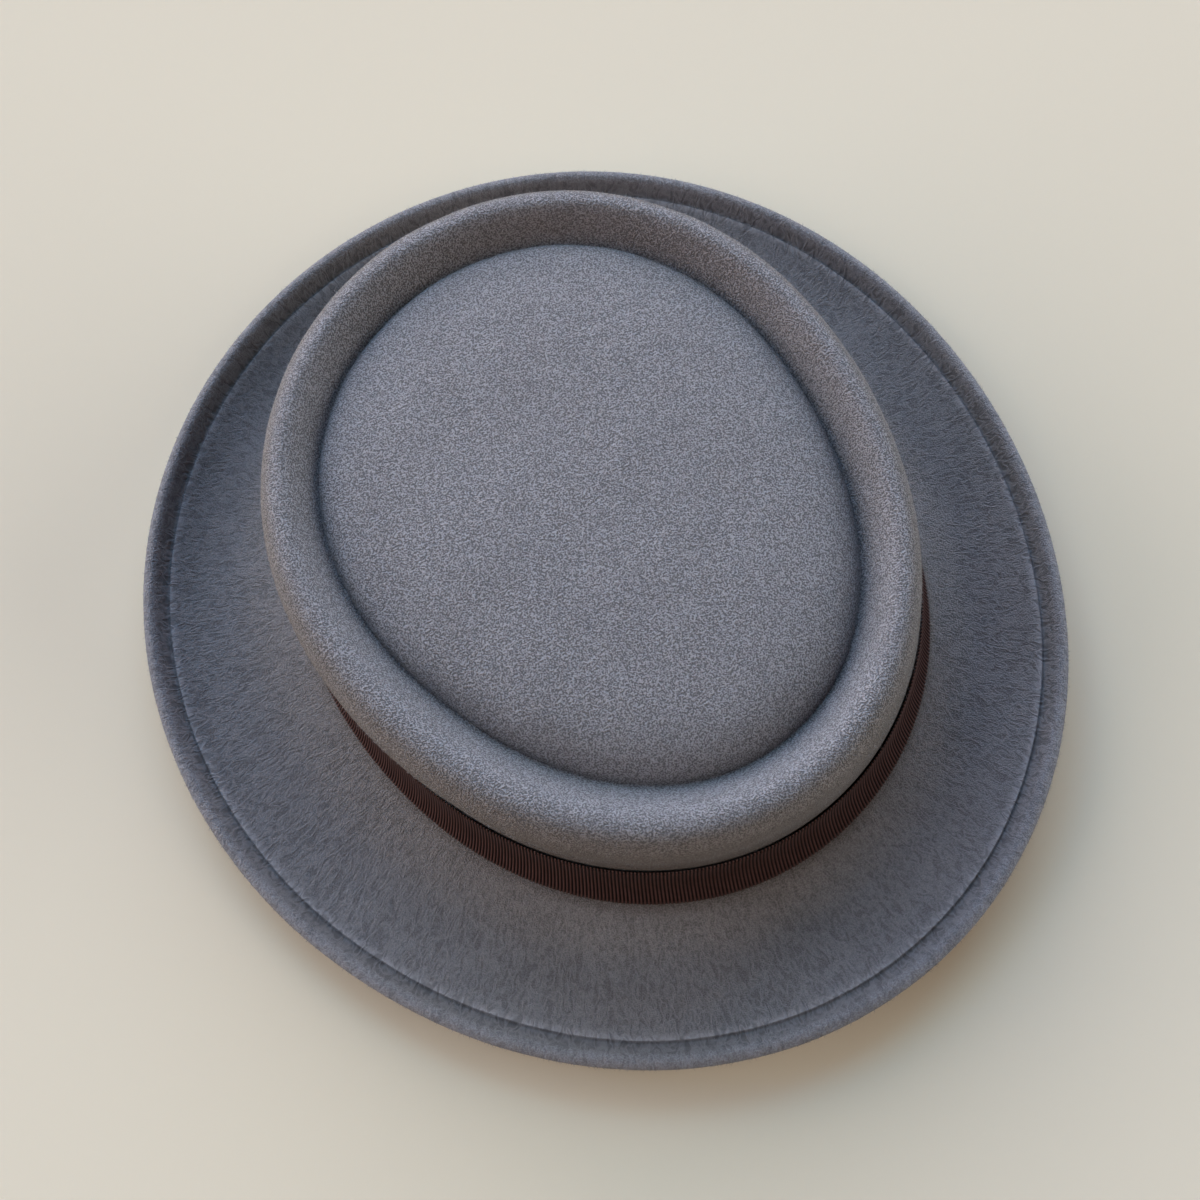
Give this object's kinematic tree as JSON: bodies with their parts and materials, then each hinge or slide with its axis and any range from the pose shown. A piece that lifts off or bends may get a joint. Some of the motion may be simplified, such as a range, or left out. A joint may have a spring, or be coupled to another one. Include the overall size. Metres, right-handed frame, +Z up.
{
  "type": "porkpie hat",
  "caption": "Felt porkpie hat: low crown with a rounded ridge round a domed tip, brim turned up all round with a rolled edge, and a plain ribbon band; rests on its brim.",
  "frame": {"origin": "middle of the brim's outline, on the surface that the hat rests on", "axes": "+Z up through the crown, -Y to the front of the hat, +X to its wearer's left"},
  "size_m": [0.2608, 0.2784, 0.089],
  "materials": {
    "felt": "soft brushed blue-grey wool felt with a short nap",
    "ribbon": "dark brown ribbed grosgrain ribbon, low sheen"
  },
  "bodies": {
    "root": {"felt_crown_and_brim": "felt", "ribbon_band": "ribbon"}
  },
  "joints": []
}
